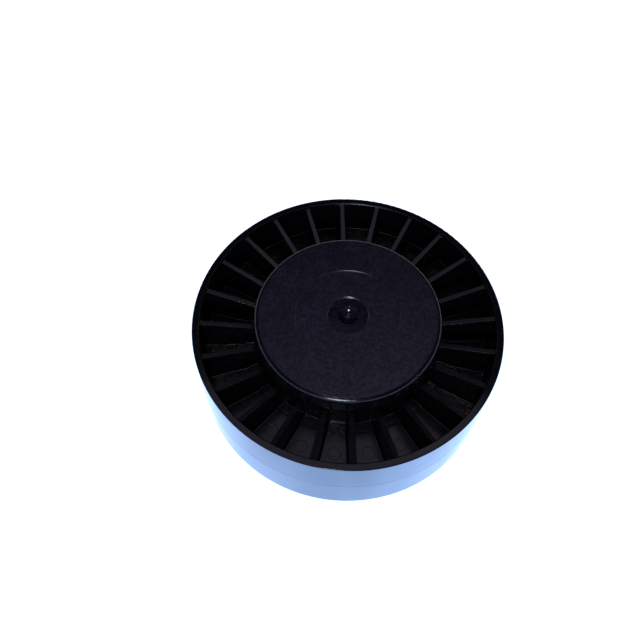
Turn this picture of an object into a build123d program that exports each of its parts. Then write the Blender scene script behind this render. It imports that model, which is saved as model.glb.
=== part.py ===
from build123d import *
import os
from math import asin, degrees

# Belt idler pulley, in millimetres.  A ribbed nylon wheel is moulded over a sealed ball
# bearing.  The bearing turns on a flanged steel sleeve that takes the mounting bolt, and a
# dust cap plugs the front of the hub.
# Origin: centre of the mounting face, the rear end of the sleeve.  +Z points to the cap.

# ---- driving dimensions ------------------------------------------------------------------
wheel_radius = 38.0            # highest point of the running face, at the parting line
wheel_width = 24.0
standoff = 1.0                 # mounting face to rear rim
running_face_draft = 0.06      # fall of the running face from the middle to each edge
parting_ridge_height = 0.03
parting_ridge_width = 0.4
rim_outer_round = 0.2
rim_inner_bevel = 0.2
rim_inner_top = 36.2           # inside of the rim at its edge
rim_inner_floor = 35.9         # inside of the rim at the web

rib_count = 24
rib_top_half = 0.5             # half thickness of a rib at the rim plane
rib_floor_half = 0.92          # half thickness of a rib at the web
rib_drop_at_rim = 0.6          # rib top below the rim plane, at the rim
rib_drop_at_hub = 2.9          # the same, at the hub
pocket_depth = 10.0            # rim plane to the floor of a pocket
step_height = 0.7              # the floor is raised this much beside the hub
step_radius = 25.75
pocket_corner_round = 0.4
pocket_floor_round = 0.35
pin_mark_radius = 1.5          # round marks left by the ejector pins
pin_mark_depth = 0.12
pin_mark_pitch_radius = 30.8

hub_radius_top = 22.6
hub_radius_floor = 23.05
hub_drop = 2.4                 # hub end below the rim plane
lip_height = 1.2               # nylon lip over the bearing's front face
lip_bore = 18.6
cap_bore = 20.2

bearing_bore = 8.5
bearing_radius = 20.0
bearing_width = 12.0
bearing_rear = 5.0             # height of the bearing's rear face
pitch_radius = 14.25
ball_radius = 3.375
ball_count = 8
race_clearance = 0.055
inner_shoulder = 12.2
outer_shoulder = 16.3
seal_seat = 17.4
seal_seat_depth = 1.6
seal_thickness = 1.2
seal_recess = 0.4              # seal face below the bearing's face
seal_lip_gap = 0.1
ring_corner = 0.5
anchor_groove_depth = 0.4      # grooves that key the outer ring into the nylon
anchor_groove_width = 1.0
anchor_groove_offset = 3.0

insert_thickness = 0.4
insert_inner = 13.2
insert_outer = 16.9

cage_inner = 13.0
cage_outer = 15.5
cage_sheet = 0.5
cage_ball_gap = 0.125
rivet_radius = 0.5
rivet_head_radius = 0.9
rivet_head_height = 0.35

sleeve_bore = 4.2              # clears an M8 bolt
flange_radius = 11.2
shield_thickness = 0.8
shield_radius = 18.1
shield_clamp_radius = 11.3
shield_dish = 0.6
shield_dish_run = 0.6
collar_thickness = 1.5
small_bevel = 0.3

cap_radius = 22.85
cap_height = 2.4               # cap top above the rim plane
cap_edge_round = 1.3
cap_plate = 1.6
cap_wall = 1.4
cap_seat_gap = 0.3
disc_radius = 12.65            # shallow round panel in the cap's top
disc_recess = 0.18
dimple_radius = 5.2            # polished flat recess in the middle of the panel
dimple_depth = 0.35
pip_radius = 2.45              # round-bottomed gate mark in the recess
pip_depth = 1.9
boss_wall = 0.9
skirt_gap = 0.3
skirt_wall = 1.2
skirt_depth = 3.6              # skirt below the hub end
skirt_slots = 6
skirt_slot_width = 2.4
skirt_taper = 0.4

# ---- levels and angles worked out from them -------------------------------------------------
rim_rear = standoff
rim_front = standoff + wheel_width
wheel_mid = (rim_rear + rim_front) / 2
floor_front = rim_front - pocket_depth
hub_front = rim_front - hub_drop
hub_rear = 2 * wheel_mid - hub_front
bearing_front = bearing_rear + bearing_width
bearing_mid = bearing_rear + bearing_width / 2
lip_front = bearing_front + lip_height
rib_pitch = 360 / rib_count
ball_pitch = 360 / ball_count
cap_top = rim_front + cap_height
cap_seat = hub_front + cap_seat_gap

tool_overrun = 1.0             # how far a cutting tool runs past the face it opens

MID_PLANE = Plane.XY.offset(wheel_mid)
BEARING_PLANE = Plane.XY.offset(bearing_mid)


def mirrored(points, level):
    """The same outline points reflected about a level, in reverse order."""
    return [(r, 2 * level - z) for r, z in reversed(points)]


def write(builder, label):
    builder.part.label = label
    export_step(builder.part, f"parts/{label}.step")


def turned(*points, ball_track=False):
    """A ring made by revolving a closed outline of (radius, height) points."""
    with BuildPart() as ring:
        with BuildSketch(Plane.XZ):
            Polygon(*points, align=None)
            if ball_track:
                with Locations((pitch_radius, bearing_mid)):
                    Circle(ball_radius + race_clearance, mode=Mode.SUBTRACT)
        revolve(axis=Axis.Z)
    return ring


# ---- the nylon wheel ------------------------------------------------------------------------
def rib_half_at(height):
    """Half thickness of a rib at a height: ribs are thinner at the rim plane, for draft."""
    share = (height - floor_front) / (rim_front - floor_front)
    return rib_floor_half + share * (rib_top_half - rib_floor_half)


def rim_inner_at(height):
    share = (height - floor_front) / (rim_front - floor_front)
    return rim_inner_floor + share * (rim_inner_top - rim_inner_floor)


def hub_outer_at(height):
    share = (height - floor_front) / (hub_front - floor_front)
    return hub_radius_floor + share * (hub_radius_top - hub_radius_floor)


def wheel_outline():
    """Half section of the wheel before the pockets are sunk, from the bore outwards."""
    face_mid = wheel_radius - parting_ridge_height
    face_edge = face_mid - running_face_draft
    rib_hub_z = rim_front - rib_drop_at_hub
    front = [
        (bearing_radius, bearing_front),
        (lip_bore, bearing_front),
        (lip_bore, lip_front),
        (cap_bore, lip_front),
        (cap_bore, hub_front - small_bevel),
        (cap_bore + small_bevel, hub_front),
        (hub_radius_top - small_bevel, hub_front),
        (hub_radius_top, hub_front - small_bevel),
        (hub_outer_at(rib_hub_z), rib_hub_z),
        (rim_inner_top, rim_front - rib_drop_at_rim),
        (rim_inner_top, rim_front - rim_inner_bevel),
        (rim_inner_top + rim_inner_bevel, rim_front),
        (face_edge, rim_front),
        (face_mid, wheel_mid + parting_ridge_width / 2),
        (wheel_radius, wheel_mid),
    ]
    hub_corner = front.index((cap_bore + small_bevel, hub_front))
    rear = mirrored(front[hub_corner:-1], wheel_mid)
    bore = [
        (lip_bore, hub_rear),
        (lip_bore, bearing_rear),
        (bearing_radius, bearing_rear),
    ]
    return front + rear + bore


def pocket_outline(height):
    """One pocket between two ribs, cut level at a height, centred on +X."""
    half = rib_half_at(height)
    inner = hub_outer_at(height)
    outer = rim_inner_at(height)
    inner_turn = rib_pitch / 2 - degrees(asin(half / inner))
    outer_turn = rib_pitch / 2 - degrees(asin(half / outer))
    with BuildSketch(Plane.XY.offset(height)) as outline:
        with BuildLine():
            far = CenterArc((0, 0), outer, -outer_turn, 2 * outer_turn)
            near = CenterArc((0, 0), inner, -inner_turn, 2 * inner_turn)
            Line(near @ 0, far @ 0)
            Line(near @ 1, far @ 1)
        make_face()
    return outline.sketch


def make_pocket():
    """Tool that sinks one pocket: drafted walls, rounded corners and a stepped floor."""
    sections = [pocket_outline(floor_front), pocket_outline(rim_front + tool_overrun)]
    with BuildPart() as tool:
        loft(sections=sections, ruled=True)
        fillet(tool.edges().group_by(Axis.Z)[1], pocket_corner_round)
        with BuildSketch(Plane.XY.offset(floor_front)):
            Circle(step_radius)
        extrude(amount=step_height, mode=Mode.SUBTRACT)
        deep, raised = tool.faces().filter_by(Plane.XY).sort_by(Axis.Z)[:2]
        step = raised.edges().sort_by(lambda edge: edge.bounding_box().max.X)[-1]
        foot = [edge for edge in deep.edges() if edge.bounding_box().max.X > step_radius + tool_overrun]
        fillet(foot + (raised.edges() - [step]), pocket_floor_round)
    return tool


def make_wheel():
    front_tool = make_pocket().part
    rear_tool = mirror(front_tool, about=MID_PLANE)
    with BuildPart() as wheel:
        with BuildSketch(Plane.XZ):
            Polygon(*wheel_outline(), align=None)
        revolve(axis=Axis.Z)
        circles = wheel.edges().filter_by(GeomType.CIRCLE)
        for end in (circles.group_by(Axis.Z)[0], circles.group_by(Axis.Z)[-1]):
            fillet(end.sort_by(SortBy.RADIUS)[-1], rim_outer_round)
        with BuildSketch(Plane.XZ):
            for offset in (-anchor_groove_offset, anchor_groove_offset):
                with Locations((bearing_radius - anchor_groove_depth / 2, bearing_mid + offset)):
                    Rectangle(anchor_groove_depth, anchor_groove_width)
        revolve(axis=Axis.Z)
        with PolarLocations(0, rib_count, start_angle=rib_pitch / 2):
            add([front_tool, rear_tool], mode=Mode.SUBTRACT)
        with BuildSketch(Plane.XY.offset(floor_front)):
            with PolarLocations(pin_mark_pitch_radius, rib_count, start_angle=rib_pitch / 2):
                Circle(pin_mark_radius)
        extrude(amount=-pin_mark_depth, mode=Mode.SUBTRACT)
    return wheel


# ---- the ball bearing ---------------------------------------------------------------------------
def make_inner_ring():
    half = [
        (bearing_bore, bearing_front - ring_corner),
        (bearing_bore + ring_corner, bearing_front),
        (inner_shoulder - small_bevel, bearing_front),
        (inner_shoulder, bearing_front - small_bevel),
    ]
    return turned(*half, *mirrored(half, bearing_mid), ball_track=True)


def make_outer_ring():
    seat = bearing_front - seal_seat_depth
    half = [
        (outer_shoulder, seat),
        (seal_seat, seat),
        (seal_seat, bearing_front),
        (bearing_radius, bearing_front),
    ]
    groove_in = bearing_radius - anchor_groove_depth
    high = bearing_mid + anchor_groove_offset + anchor_groove_width / 2
    low = high - anchor_groove_width
    groove = [(bearing_radius, high), (groove_in, high), (groove_in, low), (bearing_radius, low)]
    outline = half + groove + mirrored(groove, bearing_mid) + mirrored(half, bearing_mid)
    return turned(*outline, ball_track=True)


def seal_outline():
    """Rubber seal on the front side: a flat ring round a pocket that holds the steel insert."""
    face = bearing_front - seal_recess
    back = face - seal_thickness
    lip = inner_shoulder + seal_lip_gap
    return [
        (lip, back + insert_thickness),
        (lip, face - small_bevel),
        (lip + small_bevel, face),
        (seal_seat - small_bevel, face),
        (seal_seat, face - small_bevel),
        (seal_seat, back),
        (insert_outer, back),
        (insert_outer, back + insert_thickness),
    ]


def insert_outline():
    back = bearing_front - seal_recess - seal_thickness
    return [
        (insert_inner, back),
        (insert_outer, back),
        (insert_outer, back + insert_thickness),
        (insert_inner, back + insert_thickness),
    ]


def make_cage_half(side):
    """Pressed ribbon cage: a flat ring with a domed pocket over every ball."""
    pocket_inside = ball_radius + cage_ball_gap
    with BuildPart() as half:
        with BuildSketch(BEARING_PLANE):
            Circle(cage_outer)
            Circle(cage_inner, mode=Mode.SUBTRACT)
        extrude(amount=side * cage_sheet)
        with Locations(BEARING_PLANE):
            with PolarLocations(pitch_radius, ball_count):
                Sphere(pocket_inside + cage_sheet)
        with BuildSketch(BEARING_PLANE):
            Circle(cage_outer)
            Circle(cage_inner, mode=Mode.SUBTRACT)
        extrude(amount=side * (pocket_inside + 2 * cage_sheet), mode=Mode.INTERSECT)
        with Locations(BEARING_PLANE):
            with PolarLocations(pitch_radius, ball_count):
                Sphere(pocket_inside, mode=Mode.SUBTRACT)
        with BuildSketch(BEARING_PLANE):
            with PolarLocations(pitch_radius, ball_count, start_angle=ball_pitch / 2):
                Circle(rivet_radius)
        extrude(amount=side * 2 * cage_sheet, mode=Mode.SUBTRACT)
    return half


def make_rivets():
    head_base = bearing_mid + cage_sheet
    with BuildPart() as rivets:
        with BuildSketch(Plane.XY.offset(bearing_mid - cage_sheet)):
            with PolarLocations(pitch_radius, ball_count, start_angle=ball_pitch / 2):
                Circle(rivet_radius)
        extrude(amount=2 * cage_sheet)
        for base, up in ((head_base, 1), (2 * bearing_mid - head_base, -1)):
            with BuildSketch(Plane.XY.offset(base)):
                with PolarLocations(pitch_radius, ball_count, start_angle=ball_pitch / 2):
                    Circle(rivet_head_radius)
            extrude(amount=up * rivet_head_height)
    return rivets


def make_ball(index):
    with BuildPart(BEARING_PLANE) as ball:
        with PolarLocations(pitch_radius, 1, start_angle=index * ball_pitch):
            Sphere(ball_radius)
    return ball


# ---- sleeve, collar and rear shield --------------------------------------------------------------
def make_sleeve():
    front = bearing_front + collar_thickness
    flange_front = bearing_rear - shield_thickness
    return turned(
        (sleeve_bore + small_bevel, 0),
        (flange_radius - small_bevel, 0),
        (flange_radius, small_bevel),
        (flange_radius, flange_front),
        (bearing_bore, flange_front),
        (bearing_bore, front - small_bevel),
        (bearing_bore - small_bevel, front),
        (sleeve_bore + small_bevel, front),
        (sleeve_bore, front - small_bevel),
        (sleeve_bore, small_bevel),
    )


def make_collar():
    front = bearing_front + collar_thickness
    return turned(
        (bearing_bore, bearing_front),
        (flange_radius, bearing_front),
        (flange_radius, front - small_bevel),
        (flange_radius - small_bevel, front),
        (bearing_bore, front),
    )


def make_shield():
    """Thin dished disc, clamped at its middle and standing clear of the turning ring."""
    dish_start = shield_clamp_radius
    dish_end = dish_start + shield_dish_run
    back = bearing_rear - shield_thickness
    return turned(
        (bearing_bore, back),
        (dish_start, back),
        (dish_end, back - shield_dish),
        (shield_radius, back - shield_dish),
        (shield_radius, bearing_rear - shield_dish),
        (dish_end, bearing_rear - shield_dish),
        (dish_start, bearing_rear),
        (bearing_bore, bearing_rear),
    )


# ---- dust cap ---------------------------------------------------------------------------------------
def make_cap():
    skirt_outer = cap_bore - skirt_gap
    skirt_inner = skirt_outer - skirt_wall
    skirt_end = hub_front - skirt_depth
    under = cap_top - cap_plate
    disc = cap_top - disc_recess
    pip_floor = disc - pip_depth
    dish = disc - dimple_depth
    with BuildPart() as cap:
        with BuildSketch(Plane.XZ):
            with BuildLine():
                TangentArc((0, pip_floor), (pip_radius, dish), tangent=(1, 0))
                Polyline(
                    (pip_radius, dish),
                    (dimple_radius - dimple_depth, dish),
                    (dimple_radius, disc),
                    (disc_radius, disc),
                    (disc_radius + disc_recess, cap_top),
                    (cap_radius - cap_edge_round, cap_top),
                )
                RadiusArc((cap_radius - cap_edge_round, cap_top),
                          (cap_radius, cap_top - cap_edge_round), cap_edge_round)
                Polyline(
                    (cap_radius, cap_top - cap_edge_round),
                    (cap_radius, cap_seat),
                    (cap_radius - cap_wall, cap_seat),
                    (cap_radius - cap_wall, under),
                    (skirt_outer, under),
                    (skirt_outer, skirt_end + 2 * skirt_taper),
                    (skirt_outer - skirt_taper, skirt_end),
                    (skirt_inner, skirt_end),
                    (skirt_inner, under),
                    (pip_radius + boss_wall, under),
                    (pip_radius + boss_wall, pip_floor - boss_wall),
                    (0, pip_floor - boss_wall),
                    (0, pip_floor),
                )
            make_face()
        revolve(axis=Axis.Z)
        with BuildSketch(Plane.XY.offset(skirt_end)):
            with PolarLocations((skirt_inner + skirt_outer) / 2, skirt_slots):
                Rectangle(2 * skirt_wall, skirt_slot_width)
        extrude(amount=cap_seat - skirt_end, mode=Mode.SUBTRACT)
    return cap


def main():
    os.makedirs("parts", exist_ok=True)
    write(make_wheel(), "pulley_wheel")
    write(make_cap(), "dust_cap")

    write(make_inner_ring(), "bearing_inner_ring")
    write(make_outer_ring(), "bearing_outer_ring")
    for side, place in (("front", lambda outline: outline),
                        ("rear", lambda outline: mirrored(outline, bearing_mid))):
        write(turned(*place(seal_outline())), f"{side}_seal")
        write(turned(*place(insert_outline())), f"{side}_seal_insert")
    write(make_cage_half(1), "cage_front_half")
    write(make_cage_half(-1), "cage_rear_half")
    write(make_rivets(), "cage_rivets")
    for index in range(ball_count):
        write(make_ball(index), f"ball_{index + 1}")

    write(make_sleeve(), "spacer_sleeve")
    write(make_collar(), "front_collar")
    write(make_shield(), "rear_dust_shield")


main()
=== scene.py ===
import math

import bpy
from mathutils import Matrix, Vector


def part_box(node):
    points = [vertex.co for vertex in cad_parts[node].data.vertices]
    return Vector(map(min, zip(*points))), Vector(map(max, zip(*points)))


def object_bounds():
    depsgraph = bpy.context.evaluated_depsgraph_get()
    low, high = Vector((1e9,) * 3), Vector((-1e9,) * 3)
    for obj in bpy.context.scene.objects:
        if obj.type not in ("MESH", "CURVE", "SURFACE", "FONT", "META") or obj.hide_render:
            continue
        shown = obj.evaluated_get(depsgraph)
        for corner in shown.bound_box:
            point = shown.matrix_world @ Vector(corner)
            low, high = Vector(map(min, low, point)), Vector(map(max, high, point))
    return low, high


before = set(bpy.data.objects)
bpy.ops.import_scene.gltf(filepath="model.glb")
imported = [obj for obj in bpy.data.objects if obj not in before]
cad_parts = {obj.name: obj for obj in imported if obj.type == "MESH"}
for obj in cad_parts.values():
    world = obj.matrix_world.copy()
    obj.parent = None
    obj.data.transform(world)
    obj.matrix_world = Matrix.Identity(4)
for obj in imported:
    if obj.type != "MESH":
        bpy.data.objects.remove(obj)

# A belt idler pulley lying on its mounting face on a bright table.  Lengths are in metres.
MM = 0.001
cad_low, cad_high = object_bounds()
WHEEL_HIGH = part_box("pulley_wheel")[1]
CAP_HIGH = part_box("dust_cap")[1]
WHEEL_RADIUS = WHEEL_HIGH[0]
RIM_LEVEL = WHEEL_HIGH[2]
RIM_POLISH = (0.953 * WHEEL_RADIUS, 0.957 * WHEEL_RADIUS)    # grained inside, polished outside
CAP_RADIUS = CAP_HIGH[0]
CAP_EDGE = (CAP_RADIUS - 1.3 * MM, CAP_RADIUS - 0.9 * MM)    # where the cap's rounded edge starts
DIMPLE_RADIUS = 0.21 * CAP_RADIUS
DIMPLE_POLISH = (DIMPLE_RADIUS, DIMPLE_RADIUS + 0.1 * MM)


def direction(azimuth, elevation):
    """Unit vector from the pulley, by angles in degrees.  Azimuth 0 is -Y, the camera's side."""
    azimuth, elevation = math.radians(azimuth), math.radians(elevation)
    return Vector((math.sin(azimuth) * math.cos(elevation),
                   -math.cos(azimuth) * math.cos(elevation),
                   math.sin(elevation)))


# ---- camera --------------------------------------------------------------------------------------
FOCAL_LENGTH = 38.23             # millimetres
SENSOR_WIDTH = 36.0              # millimetres
CAMERA_AZIMUTH = -6.6            # degrees, as are the other angles
CAMERA_ELEVATION = 59.69
CAMERA_DISTANCE = 4.365 * WHEEL_RADIUS
CAMERA_ROLL = -4.89
CAMERA_PAN = 2.338               # the pulley sits this far right of the view's middle
CAMERA_TILT = 0.065


def make_camera():
    back = direction(CAMERA_AZIMUTH, CAMERA_ELEVATION)
    right = direction(CAMERA_AZIMUTH + 90.0, 0.0)
    level = Matrix((right, back.cross(right), back))
    turn = (Matrix.Rotation(math.radians(CAMERA_TILT), 3, "X")
            @ Matrix.Rotation(-math.radians(CAMERA_PAN), 3, "Y")
            @ Matrix.Rotation(math.radians(CAMERA_ROLL), 3, "Z"))
    data = bpy.data.cameras.new("camera")
    data.lens = FOCAL_LENGTH
    data.sensor_width = SENSOR_WIDTH
    data.clip_start, data.clip_end = 0.005, 20.0
    camera = bpy.data.objects.new("camera", data)
    bpy.context.collection.objects.link(camera)
    pose = (turn @ level).transposed().to_4x4()
    pose.translation = Vector((0.0, 0.0, RIM_LEVEL)) + back * CAMERA_DISTANCE
    camera.matrix_world = pose
    bpy.context.scene.camera = camera


# ---- node helpers --------------------------------------------------------------------------------
class Nodes:
    """Short calls for building one node tree.  Colours are (red, green, blue), all linear."""

    def __init__(self, tree):
        self.tree = tree
        tree.nodes.clear()

    def add(self, kind, **settings):
        node = self.tree.nodes.new(kind)
        for name, value in settings.items():
            setattr(node, name, value)
        return node

    def give(self, socket, value):
        """Link a value that comes from another node, or set a plain one."""
        if isinstance(value, bpy.types.NodeSocket):
            self.tree.links.new(value, socket)
        elif socket.type == "RGBA":
            socket.default_value = (*value, 1.0)
        else:
            socket.default_value = value

    def feed(self, node, **inputs):
        for name, value in inputs.items():
            self.give(node.inputs[name.replace("_", " ")], value)
        return node

    def coordinates(self):
        return self.add("ShaderNodeTexCoord").outputs["Object"]

    def split(self, vector):
        node = self.feed(self.add("ShaderNodeSeparateXYZ"), Vector=vector)
        return node.outputs["X"], node.outputs["Y"], node.outputs["Z"]

    def noise(self, scale, detail=2.0, roughness=0.5, where=None):
        node = self.add("ShaderNodeTexNoise")
        self.feed(node, Vector=where or self.coordinates(), Scale=scale,
                  Detail=detail, Roughness=roughness)
        return node.outputs["Fac"]

    def spread(self, value, low, high, out_low=0.0, out_high=1.0):
        """Map a value from one range to another, clamped."""
        node = self.add("ShaderNodeMapRange", clamp=True)
        self.feed(node, Value=value, From_Min=low, From_Max=high, To_Min=out_low, To_Max=out_high)
        return node.outputs["Result"]

    def maths(self, operation, first, second=0.0):
        node = self.add("ShaderNodeMath", operation=operation)
        self.give(node.inputs[0], first)
        self.give(node.inputs[1], second)
        return node.outputs["Value"]

    def times(self, first, second):
        return self.maths("MULTIPLY", first, second)

    def plus(self, first, second):
        return self.maths("ADD", first, second)

    def minus(self, first, second):
        return self.maths("SUBTRACT", first, second)

    def blend(self, share, first, second):
        """Mix two colours by a share from 0 to 1."""
        node = self.add("ShaderNodeMix", data_type="RGBA")
        share_input, first_input, second_input = (node.inputs[index] for index in (0, 6, 7))
        self.give(share_input, share)
        self.give(first_input, first)
        self.give(second_input, second)
        return node.outputs[2]

    def around_axis(self):
        """Distance from the turning axis, and height along it."""
        x, y, z = self.split(self.coordinates())
        square = self.plus(self.maths("POWER", x, 2.0), self.maths("POWER", y, 2.0))
        return self.maths("SQRT", square), z

    def bump(self, height, distance, strength, normal=None):
        node = self.add("ShaderNodeBump")
        self.feed(node, Height=height, Distance=distance, Strength=strength)
        if normal is not None:
            self.give(node.inputs["Normal"], normal)
        return node.outputs["Normal"]

    def rounded(self, radius):
        """Soft edges for the shading."""
        node = self.add("ShaderNodeBevel", samples=6)
        self.feed(node, Radius=radius)
        return node.outputs["Normal"]


def new_material(name):
    material = bpy.data.materials.new(name)
    material.use_nodes = True
    nodes = Nodes(material.node_tree)
    shader = nodes.add("ShaderNodeBsdfPrincipled")
    nodes.feed(nodes.add("ShaderNodeOutputMaterial"), Surface=shader.outputs["BSDF"])
    return material, nodes, shader


def dress(material, *names):
    for name in names:
        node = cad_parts[name]
        node.data.polygons.foreach_set("use_smooth", [True] * len(node.data.polygons))
        node.data.materials.clear()
        node.data.materials.append(material)


# ---- materials -----------------------------------------------------------------------------------
NYLON_BLACK = (0.0008, 0.0008, 0.0014)
NYLON_BLOOM = (0.0018, 0.0018, 0.0028)
NYLON_DUST = (0.05, 0.05, 0.06)
CAP_DARK = (0.0110, 0.0094, 0.0250)
CAP_LIGHT = (0.0180, 0.0160, 0.0380)
CAP_MOTTLE = (0.0008, 0.0006, 0.003)
# painted shade: the cap's rounded edge and side wall are darkened almost to black
CAP_EDGE_PAINTED_SHADE = (0.001, 0.001, 0.002)
# painted glints: small bluish-white dots stand for sparkle off the cap's grain
CAP_PAINTED_GLINT = (0.07, 0.075, 0.11)
BEARING_STEEL = (0.50, 0.50, 0.51)
BALL_STEEL = (0.66, 0.66, 0.68)
PRESSED_STEEL = (0.42, 0.42, 0.43)
PLATED_STEEL = (0.58, 0.58, 0.56)
STAIN_SHADE = 0.72               # how much of its tone stained steel keeps
RUST = (0.22, 0.12, 0.06)
RUBBER_BLACK = (0.014, 0.012, 0.012)
RUBBER_FILM = (0.03, 0.027, 0.026)


def scratches(nodes, scale, stretch, turn, threshold):
    """Thin straight marks: a stretched, turned noise cut to its highest ridges."""
    mapping = nodes.add("ShaderNodeMapping")
    nodes.feed(mapping, Vector=nodes.coordinates(), Rotation=(0.0, 0.0, turn),
               Scale=(1.0, stretch, 1.0))
    ridges = nodes.noise(scale, detail=3.0, roughness=0.6, where=mapping.outputs["Vector"])
    return nodes.spread(ridges, threshold, threshold + 0.05)


def nylon_material():
    """Glossy black moulded nylon with a faint flow texture, dust and fine scuffs."""
    material, nodes, shader = new_material("nylon")
    flow = nodes.noise(260.0, detail=4.0, roughness=0.55)
    fine = nodes.noise(2600.0, detail=3.0, roughness=0.6)
    dust = nodes.spread(nodes.noise(5200.0), 0.66, 0.74)
    patch = nodes.spread(nodes.noise(120.0, detail=3.0, roughness=0.6), 0.35, 0.7)
    marks = scratches(nodes, scale=900.0, stretch=0.06, turn=0.6, threshold=0.68)
    colour = nodes.blend(patch, NYLON_BLACK, NYLON_BLOOM)
    colour = nodes.blend(nodes.times(dust, 0.35), colour, NYLON_DUST)

    radius, _ = nodes.around_axis()
    grained = nodes.minus(1.0, nodes.spread(radius, *RIM_POLISH))
    rough = nodes.spread(flow, 0.3, 0.7, 0.09, 0.16)
    rough = nodes.plus(rough, nodes.times(grained, 0.13))
    rough = nodes.plus(rough, nodes.times(marks, 0.15))
    normal = nodes.rounded(0.16 * MM)
    normal = nodes.bump(flow, 0.03 * MM, 0.5, normal)
    normal = nodes.bump(fine, 0.004 * MM, 0.4, normal)
    nodes.feed(shader, Base_Color=colour, Roughness=rough, Normal=normal, IOR=1.52)
    return material


def cap_material():
    """Satin grained nylon: fine spark-eroded texture, mottling, bluish specks painted as glints,
    and painted shade on the rounded edge.
    """
    material, nodes, shader = new_material("cap_plastic")
    radius, _ = nodes.around_axis()
    polished = nodes.spread(radius, *DIMPLE_POLISH, 1.0, 0.0)
    grained = nodes.minus(1.0, polished)
    edge = nodes.spread(radius, *CAP_EDGE)
    grain = nodes.noise(2300.0, detail=4.0, roughness=0.7)
    cloud = nodes.spread(nodes.noise(150.0, detail=5.0, roughness=0.65), 0.35, 0.65)
    mottle = nodes.spread(nodes.noise(1300.0, detail=3.0, roughness=0.6), 0.4, 0.6)
    # mask of painted glints: bright dots set on the grained part of the cap
    glint_specks = nodes.spread(nodes.noise(1900.0, detail=1.0), 0.72, 0.78)
    colour = nodes.blend(cloud, CAP_DARK, CAP_LIGHT)
    colour = nodes.blend(mottle, colour, CAP_MOTTLE)
    # painted shade: the rounded edge and side wall are darkened here; the darkening is not wear
    colour = nodes.blend(nodes.times(edge, 0.8), colour, CAP_EDGE_PAINTED_SHADE)
    colour = nodes.blend(nodes.times(nodes.times(glint_specks, 0.5), grained), colour, CAP_PAINTED_GLINT)

    rough = nodes.spread(cloud, 0.0, 1.0, 0.26, 0.34)
    rough = nodes.plus(rough, nodes.times(mottle, 0.06))
    rough = nodes.minus(rough, nodes.times(polished, 0.2))
    rough = nodes.minus(rough, nodes.times(edge, 0.1))
    normal = nodes.rounded(0.1 * MM)
    normal = nodes.bump(nodes.times(mottle, grained), 0.012 * MM, 0.6, normal)
    normal = nodes.bump(nodes.times(grain, grained), 0.02 * MM, 0.55, normal)
    nodes.feed(shader, Base_Color=colour, Roughness=rough, Normal=normal, IOR=1.5)
    return material


def steel_material(name, tone, roughness, ring_scale, rust=0.0):
    """Turned or ground steel: fine circular machining marks round the axis."""
    material, nodes, shader = new_material(name)
    radius, height = nodes.around_axis()
    rings = nodes.feed(nodes.add("ShaderNodeCombineXYZ"), X=radius, Y=height)
    lines = nodes.noise(ring_scale, detail=3.0, roughness=0.7, where=rings.outputs["Vector"])
    stain = nodes.spread(nodes.noise(300.0, detail=4.0, roughness=0.6), 0.45, 0.75)
    colour = nodes.blend(stain, tone, [STAIN_SHADE * channel for channel in tone])
    if rust:
        spots = nodes.noise(700.0, detail=5.0, roughness=0.7)
        colour = nodes.blend(nodes.spread(spots, 0.62, 0.7, 0.0, rust), colour, RUST)
    rough = nodes.plus(nodes.times(lines, 0.16), roughness)
    normal = nodes.bump(lines, 0.004 * MM, 0.5, nodes.rounded(0.12 * MM))
    nodes.feed(shader, Base_Color=colour, Roughness=rough, Normal=normal, Metallic=1.0)
    return material


def rubber_material():
    """Dull black rubber under a thin, uneven film of grease and dust."""
    material, nodes, shader = new_material("seal_rubber")
    grain = nodes.noise(3000.0, detail=4.0, roughness=0.6)
    film = nodes.spread(nodes.noise(220.0, detail=4.0, roughness=0.6), 0.4, 0.7)
    colour = nodes.blend(film, RUBBER_BLACK, RUBBER_FILM)
    rough = nodes.spread(film, 0.0, 1.0, 0.5, 0.72)
    normal = nodes.bump(grain, 0.01 * MM, 0.6)
    nodes.feed(shader, Base_Color=colour, Roughness=rough, Normal=normal)
    return material


# ---- stage ---------------------------------------------------------------------------------------
FLOOR_NEAR = (1.05, 1.64, 2.95)    # an over-lit table: plain white to the eye, blue in the gloss
FLOOR_FAR = (1.06, 1.2, 1.5)
FLOOR_FADE = (-1.3 * WHEEL_RADIUS, 0.9 * WHEEL_RADIUS)    # along Y, from the near tone to the far
FLOOR_PATCHES = (0.97, 1.1)        # weakest and strongest glow
FLOOR_SIZE = 3.0
FLOOR_GAP = 0.02 * MM
SKY_HORIZON = (0.95, 0.98, 1.0)
SKY_ZENITH = (0.03, 0.03, 0.05)
SKY_FADE = (0.06, 0.2)             # upward part of the view's direction


def make_floor():
    """A table that glows from above only, so the pulley's underside can be seen through it."""
    mesh = bpy.data.meshes.new("floor")
    half = FLOOR_SIZE / 2
    mesh.from_pydata([(-half, -half, 0), (half, -half, 0), (half, half, 0), (-half, half, 0)],
                     [], [(0, 1, 2, 3)])
    floor = bpy.data.objects.new("floor", mesh)
    bpy.context.collection.objects.link(floor)
    floor.location.z = cad_low[2] - FLOOR_GAP
    material = bpy.data.materials.new("floor")
    material.use_nodes = True
    nodes = Nodes(material.node_tree)
    _, y, _ = nodes.split(nodes.coordinates())
    colour = nodes.blend(nodes.spread(y, *FLOOR_FADE), FLOOR_NEAR, FLOOR_FAR)
    patches = nodes.spread(nodes.noise(60.0), 0.36, 0.64, *FLOOR_PATCHES)
    glow = nodes.feed(nodes.add("ShaderNodeEmission"), Color=colour, Strength=patches)
    sides = nodes.add("ShaderNodeMixShader")
    underside = nodes.add("ShaderNodeNewGeometry").outputs["Backfacing"]
    clear = nodes.add("ShaderNodeBsdfTransparent").outputs["BSDF"]
    for socket, value in zip(sides.inputs, (underside, glow.outputs["Emission"], clear)):
        nodes.give(socket, value)
    nodes.feed(nodes.add("ShaderNodeOutputMaterial"), Surface=sides.outputs["Shader"])
    mesh.materials.append(material)


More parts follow.
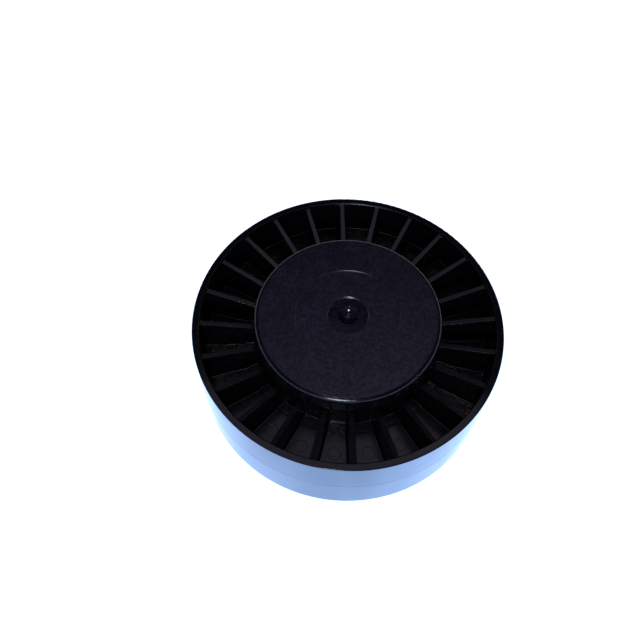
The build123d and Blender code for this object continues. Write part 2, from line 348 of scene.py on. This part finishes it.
def make_sky():
    """Pale at the horizon and dark overhead."""
    world = bpy.data.worlds.new("studio")
    bpy.context.scene.world = world
    world.use_nodes = True
    nodes = Nodes(world.node_tree)
    _, _, upward = nodes.split(nodes.add("ShaderNodeTexCoord").outputs["Generated"])
    colour = nodes.blend(nodes.spread(upward, *SKY_FADE), SKY_HORIZON, SKY_ZENITH)
    glow = nodes.feed(nodes.add("ShaderNodeBackground"), Color=colour)
    nodes.feed(nodes.add("ShaderNodeOutputWorld"), Surface=glow.outputs["Background"])


def make_light(name, azimuth, elevation, distance, size, power, colour):
    """A round softbox that faces the middle of the rim's plane, power in watts."""
    data = bpy.data.lights.new(name, "AREA")
    data.shape = "DISK"
    data.size = size
    data.energy = power
    data.color = colour
    light = bpy.data.objects.new(name, data)
    bpy.context.collection.objects.link(light)
    way = direction(azimuth, elevation)
    light.location = Vector((0.0, 0.0, RIM_LEVEL)) + way * distance
    light.rotation_mode = "QUATERNION"
    light.rotation_quaternion = way.to_track_quat("Z", "Y")


def make_lights():
    make_light("front_window", azimuth=-9.0, elevation=31.0, distance=0.8,
               size=0.17, power=3.0, colour=(0.80, 0.90, 1.0))
    make_light("overhead", azimuth=172.0, elevation=83.5, distance=0.7,
               size=0.55, power=0.33, colour=(0.76, 0.70, 1.0))
    make_light("lamp", azimuth=-14.0, elevation=70.0, distance=0.6,
               size=0.02, power=0.12, colour=(0.9, 0.95, 1.0))
    make_light("warm", azimuth=156.0, elevation=66.0, distance=0.6,
               size=0.1, power=0.012, colour=(1.0, 0.82, 0.74))


def dress_pulley():
    dress(nylon_material(), "pulley_wheel")
    dress(cap_material(), "dust_cap")
    ground = steel_material("bearing_steel", BEARING_STEEL, roughness=0.16, ring_scale=9000.0)
    dress(ground, "bearing_inner_ring", "bearing_outer_ring")
    balls = steel_material("ball_steel", BALL_STEEL, roughness=0.05, ring_scale=2500.0)
    dress(balls, *[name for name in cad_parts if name.startswith("ball_")])
    pressed = steel_material("pressed_steel", PRESSED_STEEL, roughness=0.28, ring_scale=5000.0)
    dress(pressed, "cage_front_half", "cage_rear_half", "cage_rivets",
          "front_seal_insert", "rear_seal_insert")
    plated = steel_material("plated_steel", PLATED_STEEL, roughness=0.24, ring_scale=6000.0,
                            rust=0.15)
    dress(plated, "spacer_sleeve", "front_collar", "rear_dust_shield")
    dress(rubber_material(), "front_seal", "rear_seal")


def main():
    make_camera()
    dress_pulley()
    make_floor()
    make_sky()
    make_lights()
    bpy.context.scene.view_settings.view_transform = "Standard"


main()
